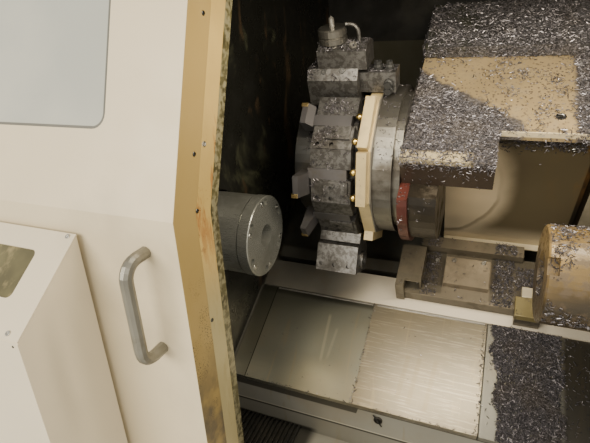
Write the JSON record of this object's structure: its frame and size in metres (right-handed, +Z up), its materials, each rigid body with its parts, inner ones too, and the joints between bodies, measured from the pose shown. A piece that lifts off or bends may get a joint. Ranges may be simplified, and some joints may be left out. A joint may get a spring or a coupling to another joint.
{
  "type": "cnc turning lathe",
  "caption": "Slant-bed turning lathe with a bent sliding door, collet chuck, indexing tool turret, sheet way covers and tailstock inside a sheet-metal enclosure.",
  "frame": {"origin": "middle of the machine's footprint, on the floor", "axes": "+X along the spindle from the chuck to the tailstock, -Y out of the operator's side, +Z up"},
  "size_m": [2.8, 1.614, 1.8],
  "materials": {
    "cream_paint": "cream enamel, scuffed and oil-stained",
    "grey_paint": "mid grey enamel",
    "dark_paint": "dark oily paint",
    "red_paint": "worn red-brown paint",
    "oiled_iron": "oily brown casting",
    "cast_iron": "plain grey casting",
    "ground_steel": "ground steel with an oil film",
    "brushed_stainless": "stained brushed stainless sheet",
    "black_steel": "blackened steel",
    "clear_pane": "clear pane with a haze",
    "olive_rubber": "oily olive seal",
    "stained_liner": "cream paint stained yellow-brown by coolant",
    "stop_red": "glossy red",
    "start_green": "glossy green",
    "yellow_bar": "dull yellow-beige coated steel"
  },
  "bodies": {
    "machine": {"bed_casting": "cast_iron", "base_skirt": "grey_paint", "headstock": "cast_iron", "bearing_cartridge": "ground_steel", "spindle_motor": "grey_paint", "drive_belt": "black_steel", "front_panel": "cream_paint", "enclosure_shell": "cream_paint", "upper_door_rail": "ground_steel", "sill_rail": "ground_steel", "headstock_bulkhead": "dark_paint", "tailstock_bulkhead": "dark_paint", "chip_trough": "brushed_stainless", "way_cover_left": "brushed_stainless", "way_cover_right": "brushed_stainless", "chip_plate": "brushed_stainless", "z_screw_drive": "cast_iron", "gauge_cabinet": "cream_paint", "gauge_plate": "cream_paint", "gauge_window": "clear_pane", "operator_panel": "grey_paint", "electrical_cabinet": "cream_paint"},
    "door": {"door_skin": "cream_paint", "door_liner": "stained_liner", "door_seal": "olive_rubber", "door_window": "clear_pane", "door_handle": "ground_steel"},
    "spindle": {"spindle_shaft": "ground_steel", "chuck_body": "ground_steel", "chuck_nose": "ground_steel"},
    "drawbar": {"drawtube_collet": "black_steel"},
    "motor_rotor": {"motor_pulley": "ground_steel"},
    "carriage": {"saddle": "cast_iron", "upper_cover": "brushed_stainless"},
    "cross_slide_body": {"cross_slide": "oiled_iron", "slide_front_plate": "brushed_stainless", "slide_cover": "brushed_stainless", "turret_housing": "oiled_iron", "turret_ring": "red_paint"},
    "turret": {"turret_drum": "ground_steel", "tool_disc": "ground_steel", "coolant_ring": "yellow_bar", "turning_holder_1": "ground_steel", "turning_holder_2": "ground_steel", "turning_holder_3": "ground_steel", "boring_holder": "ground_steel", "turning_tool_1": "black_steel", "turning_tool_2": "black_steel", "turning_tool_3": "black_steel", "boring_bar": "ground_steel", "driven_holder": "ground_steel"},
    "drill_spindle": {"collet_nut": "black_steel", "drill": "ground_steel"},
    "tailstock": {"tailstock_base": "oiled_iron", "tailstock_body": "oiled_iron"},
    "quill_body": {"quill": "ground_steel"},
    "centre": {"live_centre": "black_steel"},
    "stop_button_body": {"stop_button": "stop_red"},
    "start_button_body": {"start_button": "start_green"},
    "cabinet_door_body": {"cabinet_door": "cream_paint"}
  },
  "joints": [
    {"name": "door_slide", "type": "slide", "parent": "machine", "child": "door", "axis": [1, 0, 0], "range_m": [0, 0.85]},
    {"name": "spindle_spin", "type": "hinge", "parent": "machine", "child": "spindle", "pos_m": [-0.5, -0.29, 1.042], "axis": [1, 0, 0], "continuous": true},
    {"name": "drawbar_slide", "type": "slide", "parent": "spindle", "child": "drawbar", "axis": [1, 0, 0], "range_m": [-0.005, 0]},
    {"name": "motor_spin", "type": "hinge", "parent": "machine", "child": "motor_rotor", "pos_m": [-0.9, 0.12216, 0.92812], "axis": [1, 0, 0], "continuous": true},
    {"name": "carriage_slide", "type": "slide", "parent": "machine", "child": "carriage", "axis": [1, 0, 0], "range_m": [-0.045, 0.07]},
    {"name": "cross_slide_feed", "type": "slide", "parent": "carriage", "child": "cross_slide_body", "axis": [0, 0.866, 0.5], "range_m": [0, 0.11]},
    {"name": "turret_index", "type": "hinge", "parent": "cross_slide_body", "child": "turret", "pos_m": [-0.2, -0.04578, 1.183], "axis": [1, 0, 0], "continuous": true},
    {"name": "drill_spin", "type": "hinge", "parent": "turret", "child": "drill_spindle", "pos_m": [-0.278, -0.13199, 1.47035], "axis": [0, -0.2874, 0.9578], "continuous": true},
    {"name": "tailstock_slide", "type": "slide", "parent": "machine", "child": "tailstock", "axis": [1, 0, 0], "range_m": [0, 0.25]},
    {"name": "quill_slide", "type": "slide", "parent": "tailstock", "child": "quill_body", "axis": [-1, 0, 0], "range_m": [0, 0.08]},
    {"name": "centre_spin", "type": "hinge", "parent": "quill_body", "child": "centre", "pos_m": [0.23, -0.29, 1.042], "axis": [1, 0, 0], "continuous": true},
    {"name": "stop_press", "type": "slide", "parent": "machine", "child": "stop_button_body", "axis": [0, 1, 0], "range_m": [0, 0.006]},
    {"name": "start_press", "type": "slide", "parent": "machine", "child": "start_button_body", "axis": [0, 1, 0], "range_m": [0, 0.004], "stiffness_N_per_m": 500},
    {"name": "cabinet_door_swing", "type": "hinge", "parent": "machine", "child": "cabinet_door_body", "pos_m": [0.24, 0.79255, 1.05], "axis": [0, 0, 1], "range_deg": [0, 110]}
  ],
  "couplings": [
    {"joint": "motor_spin", "follows": "spindle_spin", "ratio": 1.5}
  ]
}
